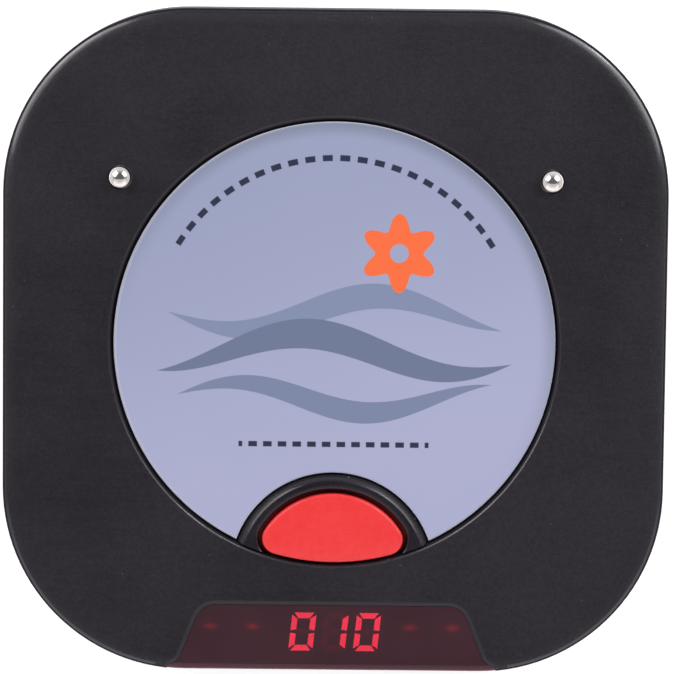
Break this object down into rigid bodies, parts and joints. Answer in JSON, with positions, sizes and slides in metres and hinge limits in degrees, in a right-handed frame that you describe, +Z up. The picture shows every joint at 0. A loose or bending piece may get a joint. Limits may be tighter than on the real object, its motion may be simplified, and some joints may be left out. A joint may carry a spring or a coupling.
{
  "type": "guest pager",
  "caption": "Square table-top guest pager with round corners: a round lit label, a call button, a digit display behind a wrap-over window and sprung charging contacts.",
  "frame": {"origin": "middle of the case on the plane of the feet", "axes": "+Z up, -Y towards the display, +X to the right of the reader of the display"},
  "size_m": [0.1, 0.1, 0.0192],
  "materials": {
    "case": "fine spark-erosion texture",
    "bezel": "satin",
    "window": "smoked, glossy",
    "diffuser": "milky",
    "label": "printed",
    "button": "glossy",
    "contact": "polished nickel",
    "barrel": "turned",
    "spring": "drawn wire",
    "rubber": "matte",
    "board": "solder mask",
    "component": "moulded",
    "connector": "moulded",
    "metal_can": "tinned",
    "lamp": "clear lens in a white tub",
    "segment": "translucent red",
    "wire_red": "insulated",
    "wire_black": "insulated",
    "foil": "laminated foil",
    "foam": "foam"
  },
  "bodies": {
    "case": {"top_cover": "case", "bottom_cover": "case", "rubber_feet": "rubber", "light_diffuser": "diffuser", "label_disc": "label", "button_bezel": "bezel", "switch_body": "component", "display_window": "window", "display_module": "component", "display_segments": "segment", "indicator_leds": "lamp", "ring_leds": "lamp", "main_board": "board", "microcontroller": "component", "radio_module": "board", "radio_shield": "metal_can", "crystal": "metal_can", "antenna": "component", "buzzer": "component", "motor_can": "metal_can", "motor_boot": "rubber", "motor_ribbon": "connector", "battery_cell": "foil", "battery_pad": "foam", "battery_lead_red": "wire_red", "battery_lead_black": "wire_black", "battery_plug": "connector", "battery_socket": "connector", "contact_barrel_left": "barrel", "contact_barrel_right": "barrel", "contact_spring_left": "spring", "contact_spring_right": "spring", "stack_contact_left": "contact", "stack_contact_right": "contact"},
    "button": {"call_button": "button"},
    "switch": {"switch_plunger": "component"},
    "nub_left": {"contact_nub_left": "contact"},
    "nub_right": {"contact_nub_right": "contact"},
    "motor_rotor": {"motor_shaft": "metal_can", "motor_weight": "metal_can"}
  },
  "joints": [
    {"name": "button_press", "type": "slide", "parent": "case", "child": "button", "axis": [0, 0, -1], "range_m": [0, 0.0004], "stiffness_N_per_m": 2500, "springref_m": -0.0002},
    {"name": "switch_press", "type": "slide", "parent": "case", "child": "switch", "axis": [0, 0, -1], "range_m": [0, 0.0004]},
    {"name": "contact_left_press", "type": "slide", "parent": "case", "child": "nub_left", "axis": [0, 0, -1], "range_m": [0, 0.001], "stiffness_N_per_m": 600, "springref_m": -0.0005, "deforming": ["contact_spring_left"]},
    {"name": "contact_right_press", "type": "slide", "parent": "case", "child": "nub_right", "axis": [0, 0, -1], "range_m": [0, 0.001], "stiffness_N_per_m": 600, "springref_m": -0.0005, "deforming": ["contact_spring_right"]},
    {"name": "motor_spin", "type": "hinge", "parent": "case", "child": "motor_rotor", "pos_m": [0.031, -0.02, 0.0055], "axis": [0, 1, 0], "continuous": true}
  ],
  "couplings": [
    {"joint": "switch_press", "follows": "button_press", "ratio": 1}
  ]
}
